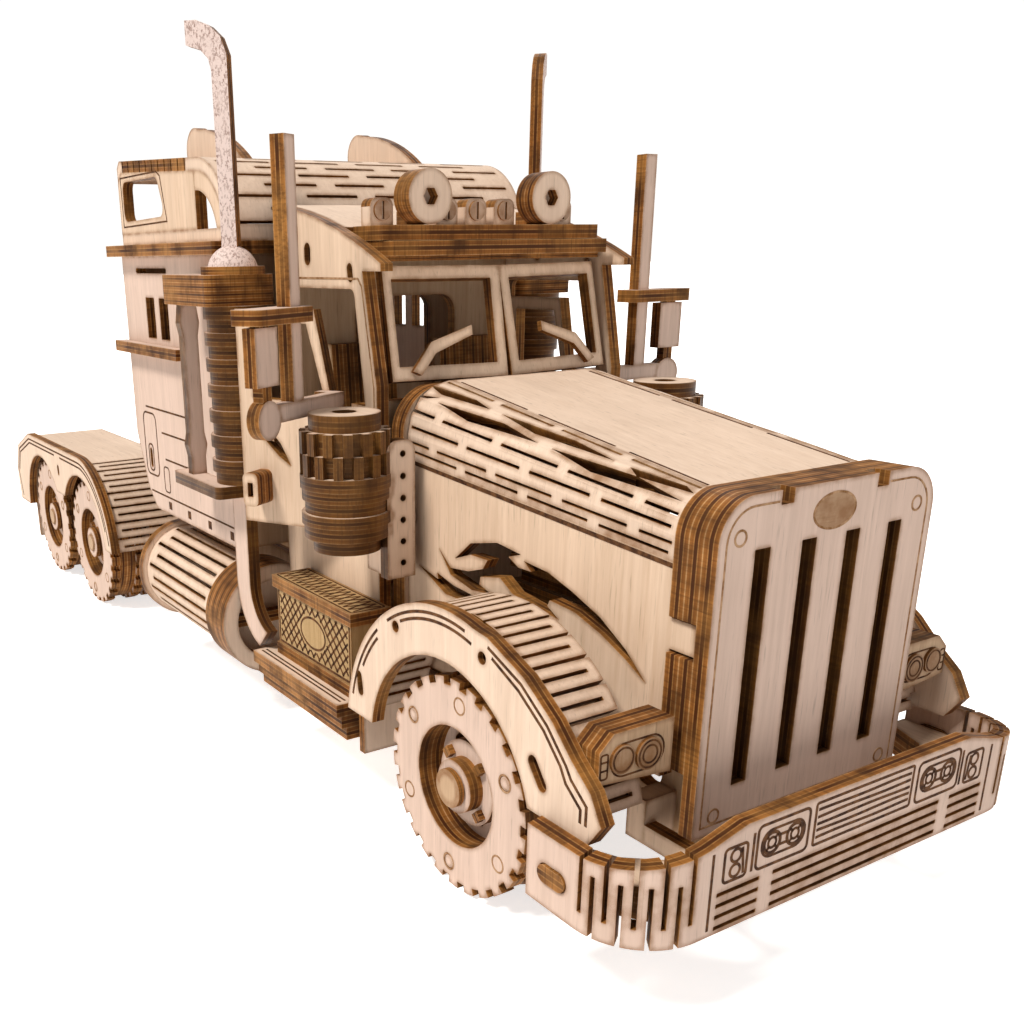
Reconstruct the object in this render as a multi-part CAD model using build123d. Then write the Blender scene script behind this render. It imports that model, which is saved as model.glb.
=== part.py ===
from build123d import *
import math
import os

# A laser-cut plywood kit model of a conventional sleeper tractor truck.
# Millimetres. +Z up from the ground, -Y is the front of the truck, +X is its left side.
# Every piece is a flat plate, a stack of plates or a slotted plate bent round a rib.

PLY = 2.0  # thickness of one plate
FIT = 0.05  # radial clearance of a turning fit
GAP = 0.3  # air between two bodies that don't touch

# wheels and axles
WHEEL_R = 14.7
WHEEL_FACE = 30.7  # outer face of a wheel, from the middle plane
RIM_R = 8.2
AXLE_R = 2.0
FRONT_AXLE_Y = -77.6
DRIVE_AXLES_Y = (75.5, 109.5)

# frame
RAIL_X = 9.0
RAIL_FRONT, RAIL_REAR = -100.0, 134.0
RAIL_LOW, RAIL_TOP = 11.0, 24.0

# bumper
BUMPER_Y = -114.7
BUMPER_X = 35.0
BUMPER_LOW, BUMPER_TOP = 11.2, 23.3
BUMPER_BEND = 9.0

# grille and hood
GRILLE_Y = -106.0
GRILLE_X = 18.0
GRILLE_LOW, GRILLE_TOP = 16.5, 55.6
HOOD_FRONT, HOOD_REAR = -100.0, -50.5
HOOD_FLAT_X = 13.0
HOOD_FRONT_X, HOOD_REAR_X = 17.5, 20.0
HOOD_FRONT_TOP, HOOD_REAR_TOP = 55.0, 62.5
HOOD_LOW = 22.0
HINGE_Y, HINGE_Z, HINGE_R = -103.0, 14.0, 1.2

# cab
CAB_X = 21.0  # inside face of a cab side
CAB_FRONT, CAB_REAR = -47.0, -17.0
CAB_LOW = 24.0
DOOR_HINGE_Y = -41.0
DOOR_LENGTH = 21.4
DOOR_LOW, DOOR_SILL, DOOR_TOP = 39.6, 57.0, 72.2  # the door is narrower above the sill
DOORWAY_TOP = 75.0
DOOR_AJAR = 29.0  # the right door stands open by this angle, in degrees

# sleeper
SLEEPER_X = 27.0  # inside face of a sleeper side
SLEEPER_FRONT, SLEEPER_REAR = -10.0, 39.5
SLEEPER_LOW, LEDGE_Z = 31.2, 80.0
CAP_BASE, CAP_TOP_FRONT, CAP_TOP_REAR = 82.0, 95.0, 97.0
CAP_BEND = 13.0

# fittings
STACK_X, STACK_Y = 29.8, -15.3
CLEANER_X, CLEANER_Y = 30.0, -50.0
TANK_X, TANK_Z, TANK_R = 24.5, 18.6, 10.0
FENDER_X = 30.5  # inner face of a fender's outer plate
FENDER_R = 24.4
ARCH_R = 16.4
FRONT_ARCH_R = 17.7
DRIVE_FENDER_R = 21.0
STEP_Z = 15.0

os.makedirs("parts", exist_ok=True)
parts = {}


def outline(points, radius=0):
    if radius:
        return make_face(FilletPolyline(*points, radius=radius, close=True))
    return make_face(Polyline(*points, close=True))


def box_face(a0, a1, b0, b1):
    return Pos((a0 + a1) / 2, (b0 + b1) / 2) * Rectangle(a1 - a0, b1 - b0)


def slot_face(a, b, length, width, turn=0):
    return Pos(a, b) * Rot(0, 0, turn) * SlotOverall(length, width)


def plate_x(face, x, t=PLY):
    return extrude(Plane.YZ.offset(x) * face, t, dir=(1, 0, 0))


def plate_y(face, y, t=PLY):
    return extrude(Plane.XZ.offset(-y) * face, t, dir=(0, 1, 0))


def plate_z(face, z, t=PLY):
    return extrude(Plane.XY.offset(z) * face, t, dir=(0, 0, 1))


def block(x0, x1, y0, y1, z0, z1):
    return Pos((x0 + x1) / 2, (y0 + y1) / 2, (z0 + z1) / 2) * Box(x1 - x0, y1 - y0, z1 - z0)


def disc_x(y, z, r, x, t=PLY, hole=0):
    face = Pos(y, z) * Circle(r)
    return plate_x(face - Pos(y, z) * Circle(hole) if hole else face, x, t)


def disc_y(x, z, r, y, t=PLY, hole=0):
    face = Pos(x, z) * Circle(r)
    return plate_y(face - Pos(x, z) * Circle(hole) if hole else face, y, t)


def disc_z(x, y, r, z, t=PLY, hole=0):
    face = Pos(x, y) * Circle(r)
    return plate_z(face - Pos(x, y) * Circle(hole) if hole else face, z, t)


def flip(piece):
    return mirror(piece, about=Plane.YZ)


def keep(name, *pieces):
    solids = [solid for piece in pieces for solid in piece.solids()]
    parts[name] = solids[0] if len(solids) == 1 else Compound(solids)


def both(name, *pieces):
    keep(name + "_left", *pieces)
    keep(name + "_right", *[flip(piece) for piece in pieces])


def pair(*pieces):
    return [*pieces, *[flip(piece) for piece in pieces]]


# ---------------------------------------------------------------- frame

def frame():
    rail = box_face(RAIL_FRONT, RAIL_REAR, RAIL_LOW, RAIL_TOP)
    for y in range(-52, 60, 14):
        rail -= slot_face(y, 18, 9, 4)
    for y in (FRONT_AXLE_Y, *DRIVE_AXLES_Y):
        rail -= Pos(y, WHEEL_R) * Circle(AXLE_R + FIT)
    for y in (-92, 92.5, 126):
        rail -= Pos(y, 18) * Circle(2.4)
    both("frame_rail", plate_x(rail, RAIL_X))

    members = [block(-RAIL_X, RAIL_X, y, y + PLY, 13, 22) for y in (-64, -40, -12, 16, 44, 62, 131)]
    members.append(block(-RAIL_X, RAIL_X, -98, -90, 20, 22))
    keep("cross_members", *members)

    # The hood turns on this pin, which two ears on the rails hold.
    ear = box_face(HINGE_Y, RAIL_FRONT, HINGE_Z - 2.3, HINGE_Z + 2.2) + Pos(HINGE_Y, HINGE_Z) * Circle(2.3)
    ear -= Pos(HINGE_Y, HINGE_Z) * Circle(HINGE_R)
    pin = disc_x(HINGE_Y, HINGE_Z, HINGE_R, -13.6, 27.2)
    keep("hood_hinge", pin, *pair(plate_x(ear, RAIL_X)))


def engine():
    layers = []
    for i in range(8):
        inset = 1.2 if i % 2 else 0.0
        layers.append(block(-7 + inset, 7 - inset, -94 + inset, -58 - inset, 24 + 2 * i, 26 + 2 * i))
    layers.append(disc_y(0, 34, 9.5, -97.5, PLY, 1.5))
    layers.append(disc_y(0, 34, 3, -95.5, 1.5))
    keep("engine", *layers)


# ---------------------------------------------------------------- bumper

def bumper():
    corner_x, corner_y = BUMPER_X - BUMPER_BEND, BUMPER_Y + BUMPER_BEND
    back_y = -97.8
    outer = outline([(-BUMPER_X, back_y), (-BUMPER_X, BUMPER_Y), (BUMPER_X, BUMPER_Y), (BUMPER_X, back_y)])
    outer = fillet(outer.vertices().filter_by(lambda v: v.Y < corner_y), BUMPER_BEND)
    inner = outline([(-BUMPER_X + PLY, back_y), (-BUMPER_X + PLY, BUMPER_Y + PLY),
                     (BUMPER_X - PLY, BUMPER_Y + PLY), (BUMPER_X - PLY, back_y)])
    inner = fillet(inner.vertices().filter_by(lambda v: v.Y < corner_y), BUMPER_BEND - PLY)
    skin = plate_z(outer - inner, BUMPER_LOW, BUMPER_TOP - BUMPER_LOW)
    edge = [(-40, 5), (40, 5), (40, 19.6), (BUMPER_X, 20.2), (25, 21.8), (19.5, BUMPER_TOP)]
    edge += [(-19.5, BUMPER_TOP), (-25, 21.8), (-BUMPER_X, 20.2), (-40, 19.6)]
    skin = skin & plate_y(outline(edge), -120, 30)
    cuts = []
    for i in range(4):
        z = 16.0 - 1.35 * i
        for x0, x1 in ((-23.4, -16.9), (-14.8, 14.8), (16.9, 23.4)):
            cuts.append(block(x0, x1, BUMPER_Y - 1, BUMPER_Y + PLY + 1, z - 0.25, z + 0.25))
    for i in range(9):
        turn = 6 + 9.8 * i
        low, high = (BUMPER_LOW - 1, 18.6) if i % 2 else (13.6, 25)
        knife = Pos(0, -BUMPER_BEND, (low + high) / 2) * Box(0.55, 2 * PLY + 4, high - low)
        knife = Pos(corner_x, corner_y, 0) * Rot(0, 0, turn) * knife
        cuts += [knife, flip(knife)]
    tab = plate_x(slot_face(-102.2, 15.5, 4.6, 2.4), 30, 10)
    cuts += [tab, flip(tab)]
    keep("bumper_skin", skin - cuts)

    # The shelf inside the bumper holds its bent corners to the two brackets.
    shelf = []
    for z in (12.4, 14.4):
        face = outline([(21.5, -112.5), (27.5, -112.2), (32.8, -105), (32.8, -97.8), (29.8, -97.8), (27, -104),
                        (21.5, -108.5)])
        shelf.append(plate_z(face, z))
    arm = block(14.2, 21.4, -111.6, -109.6, 11.6, 18.8)
    leg = block(14.2, 16.2, -109.6, -97.0, 11.2, 13.8)
    foot = block(11.0, 16.2, -97.0, -94.0, 11.2, 17.0)
    bolt = plate_x(slot_face(-102.2, 15.5, 4.4, 2.2), 32.9, 2.4)
    keep("bumper_brackets", *pair(*shelf, arm, leg, foot, bolt))


# ---------------------------------------------------------------- grille and hood

def grille():
    shape = outline([(-GRILLE_X, GRILLE_LOW), (GRILLE_X, GRILLE_LOW), (GRILLE_X, GRILLE_TOP),
                     (-GRILLE_X, GRILLE_TOP)])
    shape = fillet(shape.vertices().filter_by(lambda v: v.Y > 40), 5.0)
    bars = [box_face(sign * mid - 1.2, sign * mid + 1.2, 22, 49.6) for mid in (3.7, 11.15) for sign in (1, -1)]
    notches = [box_face(sign * 8 - 1, sign * 8 + 1, GRILLE_TOP - 1.6, GRILLE_TOP + 1) for sign in (1, -1)]
    front = shape
    for cut in bars + notches:
        front -= cut
    keep("grille_panel", plate_y(front, GRILLE_Y))

    hollow = outline([(-14.5, 12), (14.5, 12), (14.5, 51.5), (-14.5, 51.5)])
    hollow = fillet(hollow.vertices().filter_by(lambda v: v.Y > 40), 4.0)
    pockets = [box_face(sign * 16.75 - 1.4, sign * 16.75 + 1.4, 37.5, 41.7) for sign in (1, -1)]
    layer = shape - hollow - box_face(-20, 20, 10, 24) - pockets
    layers = [plate_y(layer, GRILLE_Y + PLY), plate_y(layer, GRILLE_Y + 2 * PLY)]
    # Two lugs on the grille turn on the hood's hinge pin.
    lug = box_face(GRILLE_Y + PLY, -101.2, HINGE_Z, 28) + Pos(HINGE_Y, HINGE_Z) * Circle(2.3)
    lug = lug - Pos(HINGE_Y, HINGE_Z) * Circle(HINGE_R + FIT) - box_face(-107, GRILLE_Y + PLY, 16.2, 30)
    lugs = pair(plate_x(lug, 11.3))
    keep("grille_layers", *layers, *lugs)


def hood_section(inset, y, x, top, bend):
    shoulder = []
    for i in range(5):
        turn = math.radians(90 * i / 4)
        shoulder.append((x - bend + bend * math.cos(turn), top - bend + bend * math.sin(turn)))
    points = [(px - inset if px > HOOD_FLAT_X + 0.5 else px - inset * 0.4, pz - inset) for px, pz in shoulder]
    points[0] = (x - inset, top - bend - 0.4 * inset)
    points = [(x - inset, HOOD_LOW - (2 if inset else 0))] + points
    points += [(-px, pz) for px, pz in reversed(points)]
    return Plane.XZ.offset(-y) * outline(points)


def hood():
    front = (HOOD_FRONT, HOOD_FRONT_X, HOOD_FRONT_TOP, HOOD_FRONT_X - HOOD_FLAT_X)
    rear = (HOOD_REAR, HOOD_REAR_X, HOOD_REAR_TOP, HOOD_REAR_X - HOOD_FLAT_X)
    outer = loft([hood_section(0, *front), hood_section(0, *rear)], ruled=True)
    inner = loft([hood_section(PLY, front[0] - 0.01, *front[1:]), hood_section(PLY, rear[0] + 0.01, *rear[1:])],
                 ruled=True)
    shell = outer - inner
    roof = shell & block(-HOOD_FLAT_X + 0.6, HOOD_FLAT_X - 0.6, -110, -40, 40, 80)
    slope = [(-101, 47.6), (-49, 52.4), (-49, 80), (-101, 80)]
    band = plate_x(outline(slope), HOOD_FLAT_X - 0.6, 20)
    left = shell & band
    side = (shell - band) & block(14.6, 30, -110, -40, 10, 53)
    length = HOOD_REAR - HOOD_FRONT

    # Rows of slots let the shoulder plate bend; two of the rows open into long wedges.
    rise, growth = HOOD_REAR_TOP - HOOD_FRONT_TOP, HOOD_REAR_X - HOOD_FRONT_X
    rows = [(0, 2.1, 0.36), (0, 0.9, 0.36), (10, 0, 0.4), (29, 0, 0.4), (48, 0, 1.7), (67, 0, 1.6), (86, 0, 0.4)]
    cuts = []
    for row, (turn, drop, width) in enumerate(rows):
        open_row = width > 1
        pitch, reach = (23.5, 21.0) if open_row else (12.4, 10.6)
        out, up = math.cos(math.radians(turn)), math.sin(math.radians(turn))
        for i in range(5):
            start = HOOD_FRONT + 1.2 + pitch * (i - 0.5 * (row % 2))
            stop = min(start + reach, HOOD_REAR + 1)
            start = max(start, HOOD_FRONT + 0.8)
            if stop - start < 2:
                continue
            middle, half = (start + stop) / 2, (stop - start) / 2
            k = (middle - HOOD_FRONT) / length
            bend = HOOD_FRONT_X - HOOD_FLAT_X + growth * k
            slot = box_face(-half, half, -width / 2, width / 2)
            if open_row:
                slot = outline([(-half, 0), (-3, width / 2), (half, 0), (3, -width / 2)])
            knife = extrude(Plane.XY.offset(-2) * slot, 7, dir=(0, 0, 1))
            top = HOOD_FRONT_TOP + rise * k
            seat = (HOOD_FLAT_X + (bend - 1.2) * out, middle, top - bend - drop + (bend - 1.2) * up)
            cuts.append(Plane(origin=seat, x_dir=(growth * out, length, rise - growth + growth * up),
                              z_dir=(out, 0, up)) * knife)
    left = left - cuts
    both("hood_shoulder", *left.solids().filter_by(lambda s: s.volume > 3))

    flame = outline([(-57.8, 40.5), (-60.5, 38.2), (-64.5, 38.6), (-67.5, 39.6), (-68.4, 41), (-64.8, 41),
                     (-61.5, 39.8), (-64.8, 42.6), (-70.3, 43.8), (-75, 43.2), (-72.6, 42.4), (-74.6, 41.4),
                     (-77, 41.4), (-75.6, 42.5), (-80.2, 42), (-84.4, 40.6), (-89.3, 38.6), (-93.6, 35.8),
                     (-97, 32.6), (-93.6, 34.6), (-89.4, 36.6), (-85, 38.1), (-80.6, 38.5), (-80.2, 37.7),
                     (-82.4, 36.4), (-78.6, 36.9), (-73.6, 37.6), (-71, 39.2), (-67, 38.4), (-66.8, 37.3),
                     (-69.5, 36.5), (-65.2, 36.1), (-60.5, 37.2)])
    blade = outline([(-53, 37), (-57.6, 35.9), (-57.4, 36.8), (-61.2, 35.8), (-66.3, 35.3), (-71.9, 36.4),
                     (-71.9, 35.7), (-66.3, 34), (-59.4, 34.1)])
    side = side - plate_x(flame, 10, 15) - plate_x(blade, 10, 15)
    side = side - plate_x(Pos(HOOD_REAR, 44) * Circle(1.8), 10, 15)
    tab = block(15.55, 17.5, -103.6, HOOD_FRONT + 0.3, 37.8, 41.4)
    both("hood_side", side + tab)

    ribs = []
    for y in (-97.5, -58.0):
        k = (y - HOOD_FRONT) / length
        x = HOOD_FRONT_X * (1 - k) + HOOD_REAR_X * k - PLY - 0.25
        top = HOOD_FRONT_TOP * (1 - k) + HOOD_REAR_TOP * k - PLY - 0.5
        rib = outline([(x, 46), (x, top - 5.5), (x - 5.5, top), (-x + 5.5, top), (-x, top - 5.5), (-x, 46),
                       (-x + 3, 46), (-x + 3, top - 6), (-x + 6, top - 3), (x - 6, top - 3), (x - 3, top - 6),
                       (x - 3, 46)])
        ribs.append(plate_y(rib, y))
    keep("hood_top", roof, *ribs)


def headlights():
    face = outline([(19.6, 24.8), (19.6, 31.4), (28.4, 31.4), (30.3, 29.6), (30.3, 25.8)])
    arm = block(18.0, 21.6, -101.5, -99.5, 25.6, 30.4)
    box = plate_y(face, -103.5)
    lens = Pos(23.3, 28.0) * Circle(1.9) + Pos(27.2, 28.3) * Circle(1.7)
    keep("headlights", *pair(box, plate_y(face, -101.5) - arm, arm, plate_y(lens, -103.9, 0.4)))


# ---------------------------------------------------------------- fenders

def arch_slits(y, z, reach, turns, x0, x1):
    knives = []
    for i, turn in enumerate(turns):
        a, b = (x0 - 1, x1 - 1.4) if i % 2 else (x0 + 1.4, x1 + 1)
        knife = Pos((a + b) / 2, 0, reach) * Box(b - a, 0.5, 8)
        knives.append(Pos(0, y, z) * Rot(turn, 0, 0) * knife)
    return knives


def front_fender():
    y, z = FRONT_AXLE_Y, WHEEL_R
    whole = Pos(y, z) * Circle(FENDER_R)
    whole += outline([(y, z + FENDER_R), (-86.4, 38), (-93.2, 35.3), (-98.2, 31.9), (-101.6, 28.6),
                      (-104.8, 26), (-106.6, 22.8), (-104.6, 19.8), (y, 19.8)])
    floor = box_face(y, y + 40, -20, 17.6) + box_face(y - 40, y, -20, 19.8)
    plate = whole - Pos(y, z) * Circle(FRONT_ARCH_R) - floor
    for a in (60, 111):
        turn = math.radians(a)
        plate -= Pos(y + 22 * math.cos(turn), z + 22 * math.sin(turn)) * Circle(0.8)
    plate -= slot_face(-96.1, 24.8, 4.4, 1.6, 53)
    plate -= slot_face(-57, 22.6, 3.6, 1.4, 80)
    skin_face = Pos(y, z) * Circle(FENDER_R - 0.7) - Pos(y, z) * Circle(FENDER_R - 2.5) - floor
    skin = plate_x(skin_face, 20.6, FENDER_X - 20.6)
    turns = [-74 + 4.6 * i for i in range(34)]
    skin = skin - arch_slits(y, z, FENDER_R, [-t for t in turns], 20.6, FENDER_X)
    rim = whole - offset(whole, amount=-2.4) - floor - box_face(-79, -40, 0, 50)
    under = plate_x(rim, FENDER_X - 1.2, 1.2)
    skin = skin - under
    flap = block(21.2, 30.0, -53.6, -52.2, 9.5, 19.0)
    both("front_fender", plate_x(plate, FENDER_X), *skin.solids(), flap)


def rear_fender():
    z = WHEEL_R
    first, last = DRIVE_AXLES_Y
    top = z + DRIVE_FENDER_R
    whole = Pos(first, z) * Circle(DRIVE_FENDER_R)
    whole += outline([(first, top), (120, top), (132.5, 31), (136.4, 24), (132.4, -10), (first, -10)])
    floor = box_face(first - 40, first, -20, 16.5) + box_face(first, 150, -20, 15.5)
    arches = Pos(first, z) * Circle(ARCH_R) + Pos(last, z) * Circle(ARCH_R)
    plate = whole - arches - floor - box_face(88, 97, 0, 24)
    plate -= slot_face(92.5, 30, 2.6, 1.4, 90)
    skin_face = offset(whole, amount=-0.6) - offset(whole, amount=-2.4) - floor
    skin = plate_x(skin_face, 12.0, FENDER_X - 12.0)
    knives = arch_slits(first, z, DRIVE_FENDER_R, [14 + 5.2 * i for i in range(14)], 12.0, FENDER_X)
    tail = []
    for i in range(9):
        y0 = 120.5 + 1.7 * i
        a, b = (11, FENDER_X - 1.4) if i % 2 else (13.4, FENDER_X + 1)
        tail.append(block(a, b, y0, y0 + 0.5, 20, 45))
    skin = skin - knives - tail
    inner = offset(whole, amount=-2.5) - offset(whole, amount=-5.5) - floor
    stay = block(11.0, 14.0, 91.5, 93.5, 22.5, 33.0)
    flap = block(15.0, 29.5, 130.2, 131.6, 5.0, 26.0)
    both("rear_fender", plate_x(plate, FENDER_X), *skin.solids(), plate_x(inner, 14.2), stay, flap)


# ---------------------------------------------------------------- wheels

def wheel_layers(y, face_x, count, web):
    """Plates of one wheel, from the outer face in, with a toothed disc at each end."""
    z = WHEEL_R
    ring = Pos(y, z) * Circle(WHEEL_R) - Pos(y, z) * Circle(RIM_R)
    toothed = ring
    for i in range(26):
        turn = 2 * math.pi * i / 26
        toothed -= Pos(y + WHEEL_R * math.cos(turn), z + WHEEL_R * math.sin(turn)) * \
            Rot(0, 0, math.degrees(turn)) * Rectangle(2.0, 1.5)
    for i in range(3):
        turn = math.radians(35 + 120 * i)
        toothed -= Pos(y + 11.6 * math.cos(turn), z + 11.6 * math.sin(turn)) * Circle(1.0)
    disc = Pos(y, z) * Circle(WHEEL_R - 0.9) - Pos(y, z) * Circle(AXLE_R + FIT)
    for i in range(8):
        turn = 2 * math.pi * i / 8
        disc -= Pos(y, z) * Rot(0, 0, math.degrees(turn)) * Pos(5.9, 0) * Rot(0, 0, 90) * SlotOverall(2.6, 1.6)
    plain = Pos(y, z) * Circle(WHEEL_R - 0.9) - Pos(y, z) * Circle(RIM_R)
    bore = Pos(y, z) * Circle(AXLE_R + FIT)
    layers = []
    for i in range(count):
        x = face_x - (i + 1) * PLY
        shape = disc if i == web else toothed if i in (0, count - 1) else plain
        layers.append(plate_x(shape, x))
        if i != web:
            layers.append(plate_x(Pos(y, z) * Circle(5.8 if i == web - 1 else 3.6) - bore, x))
    for i in range(4):
        nut = Pos(y, z) * Rot(0, 0, 45 + 90 * i) * Pos(4.7, 0) * Rectangle(1.3, 1.3)
        layers.append(plate_x(nut, face_x - web * PLY + PLY, 0.9))
    return layers


def wheels():
    # The front wheels turn on the ends of a fixed axle, between a collar and an end cap.
    both("front_wheel", *wheel_layers(FRONT_AXLE_Y, WHEEL_FACE, 4, 2))
    axle = disc_x(FRONT_AXLE_Y, WHEEL_R, AXLE_R, -WHEEL_FACE - 1.0, 2 * WHEEL_FACE + 2.0)
    collars = pair(disc_x(FRONT_AXLE_Y, WHEEL_R, 3.4, WHEEL_FACE - 4 * PLY - 2.2, 1.9, AXLE_R),
                   disc_x(FRONT_AXLE_Y, WHEEL_R, 2.6, WHEEL_FACE + 0.2, 0.8, AXLE_R))
    beam = outline([(-83.5, 15.5), (-71.5, 15.5), (-71.5, 21), (-83.5, 21)], 1.0)
    springs = pair(block(11.2, 13.4, -84, -71, 11.6, 17.4) - disc_x(FRONT_AXLE_Y, WHEEL_R, AXLE_R, 10, 6))
    keep("front_axle", axle, *collars, *springs, plate_x(beam, -8.8, 17.6) - axle)
    for y, name in zip(DRIVE_AXLES_Y, ("front", "rear")):
        outer = wheel_layers(y, WHEEL_FACE, 4, 2)
        second = wheel_layers(y, WHEEL_FACE - 5 * PLY, 3, 1)
        spacer = disc_x(y, WHEEL_R, 5, WHEEL_FACE - 5 * PLY, PLY, AXLE_R + FIT)
        both("drive_wheel_" + name, *outer, spacer, *second)
        shaft = disc_x(y, WHEEL_R, AXLE_R, -WHEEL_FACE - 0.4, 2 * WHEEL_FACE + 0.8)
        keep("drive_axle_" + name, shaft, disc_x(y, WHEEL_R, 4.6, -3, 6) - shaft)


# ---------------------------------------------------------------- cab

def roof_arc(y0, y1, drop=0.0):
    """Three points of the roof line, between two stations along the truck."""
    def height(y):
        k = (y + 48.5) / 30.0
        return 78.4 + 13.5 * k - 5.0 * k * k - drop
    return (y0, height(y0)), ((y0 + y1) / 2, height((y0 + y1) / 2)), (y1, height(y1))


def cab_side_face():
    a, b, c = roof_arc(-48.5, CAB_REAR)
    top = ThreePointArc(a, b, c)
    rest = Polyline(c, (CAB_REAR, CAB_LOW), (CAB_FRONT, CAB_LOW), (CAB_FRONT, 62), (-43.6, 77.4),
                    (-48.5, 77.4), a)
    face = make_face([top, *rest.edges()])
    # A lug of the side reaches back over the sill of the door and holds the upper end of its pin.
    y, rear = DOOR_HINGE_Y, DOOR_HINGE_Y + DOOR_LENGTH + 0.4
    lug_low, lug_top = DOOR_SILL + GAP, DOOR_SILL + 2.0
    doorway = outline([(y - 1.3, DOOR_LOW - GAP), (rear, DOOR_LOW - GAP), (rear, DOORWAY_TOP),
                       (y - 0.2, DOORWAY_TOP), (y - 2.8, lug_top), (y + 1.2, lug_top), (y + 1.2, lug_low),
                       (y - 1.3, lug_low)])
    face -= fillet(doorway.vertices().filter_by(lambda v: v.Y > 60), 1.2)
    face -= slot_face(-27.5, 79.8, 3.2, 1.9, 90)
    face -= slot_face(-40.2, 77.2, 2.6, 1.5, 80)
    return face


def cab():
    pin_hole = disc_z(22, DOOR_HINGE_Y, 0.65, DOOR_LOW - 2.3, DOOR_SILL - DOOR_LOW + 5.0)
    side = plate_x(cab_side_face(), CAB_X) - pin_hole
    both("cab_side", side)
    keep("cab_floor", block(-20.9, 20.9, CAB_FRONT + 3, CAB_REAR - 2.1, 26, 28),
         block(-10.8, 10.8, CAB_FRONT + 3, CAB_REAR - 2.1, 24, 26))
    wall = outline([(-20.9, CAB_LOW), (20.9, CAB_LOW), (20.9, 86), (-20.9, 86)], 1.5)
    wall -= Pos(0, 66) * RectangleRounded(20, 14, 3)
    keep("cab_rear_wall", plate_y(wall, CAB_REAR - PLY))

    dash = outline([(-20.6, 44), (20.6, 44), (20.6, 59.5), (-20.6, 59.5)], 1.0)
    panel = plate_y(dash, -44.4)
    shelf = block(-20.6, 20.6, -42.4, -38.6, 55.4, 57.4)
    wheel = Pos(9.5, -33.0, 57) * Rot(-38, 0, 0) * (Cylinder(4.6, 1.6) - Cylinder(3.5, 2)
                                                     + Box(8, 1.2, 1.6) + Box(1.2, 8, 1.6))
    column = Pos(9.5, -35.7, 53.6) * Rot(-38, 0, 0) * Cylinder(0.9, 6.6)
    keep("dashboard", panel, shelf, wheel + column)

    seats = []
    for x in (-10.5, 10.5):
        for i in range(4):
            half = 6.5 - 0.5 * (i % 2)
            seats.append(block(x - half, x + half, -33.5, -24.2, 36 + PLY * i, 38 + PLY * i))
        back = outline([(-24.1, 44), (-21.6, 44), (-20.4, 66), (-22.4, 66)])
        for i in range(6):
            seats.append(plate_x(back, x - 6 + PLY * i))
        seats.append(block(x - 4, x + 4, -33, -24, 28, 36))
    keep("seats", *seats)


def cowl():
    arch = outline([(-20.6, CAB_LOW), (20.6, CAB_LOW), (20.6, 61.9), (-20.6, 61.9)])
    arch = fillet(arch.vertices().filter_by(lambda v: v.Y > 50), 6.5)
    hollow = box_face(-15, 15, 28, 55)
    keep("cowl", plate_y(arch - hollow, -50.2), plate_y(arch, -48.2, 1.1))


def windshield():
    low_in, low_out, high_in = (0.4, -47.9, 62.2), (19.9, -46.4, 62.4), (0.4, -44.3, 77.9)
    along = Vector(*low_out) - Vector(*low_in)
    rise = Vector(*high_in) - Vector(*low_in)
    normal = along.cross(rise)
    pane = Plane(origin=low_in, x_dir=along, z_dir=normal)
    face = box_face(0, 19.5, 0, 16.0) - box_face(1.7, 18.2, 2.0, 14.2)
    panels = extrude(pane * face, PLY, dir=-normal)
    blade = outline([(16.6, 1.2), (15.2, 0.6), (12.6, 3.6), (6.2, 6.0), (6.2, 7.4), (13.2, 5.2)])
    wipers = extrude(pane.offset(0.1) * blade, 0.9, dir=normal)
    keep("windshield", *pair(panels, wipers))


def roof():
    band = make_face([ThreePointArc(*roof_arc(-35.4, -15.0)),
                      Line(roof_arc(-35.4, -15.0)[2], roof_arc(-35.4, -15.0, PLY)[2]),
                      ThreePointArc(*roof_arc(-35.4, -15.0, PLY)),
                      Line(roof_arc(-35.4, -15.0, PLY)[0], roof_arc(-35.4, -15.0)[0])])
    skin = plate_x(band, -20.9, 41.8)
    keep("cab_roof", skin - parts["cab_rear_wall"])
    header = block(-20.4, 20.4, -43.2, -41.2, 78.6, 79.3)
    keep("sun_visor", block(-19.4, 19.4, -46.1, -36, 79.3, 81.3), block(-19.6, 19.6, -43.7, -35.5, 81.4, 83.4),
         header)
    lamps = []
    for x in (-16.6, -5.3, 0, 5.3, 16.6):
        body = outline([(x - 1.9, 83.4), (x + 1.9, 83.4), (x + 1.9, 87.2), (x - 1.9, 87.2)])
        body = fillet(body.vertices().filter_by(lambda v: v.Y > 85), 1.2)
        lamps.append(plate_y(body, -38.6, 2.6))
        screw = Pos(x, 85.5) * Circle(1.4) - Pos(x, 85.5) * Rectangle(0.4, 2.4)
        lamps.append(plate_y(screw, -39.0, 0.4))
    for x in (-11.0, 11.0):
        lamps.append(plate_y(Pos(x, 87.2) * (Circle(3.7) - RegularPolygon(1.25, 6)), -42.8))
        lamps.append(plate_y(Pos(x, 87.2) * Circle(3.7), -40.8))
        lamps.append(block(x - 1.5, x + 1.5, -38.8, -36, 83.4, 85.4))
    keep("roof_lights", *lamps)


# ---------------------------------------------------------------- doors and mirrors

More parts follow.
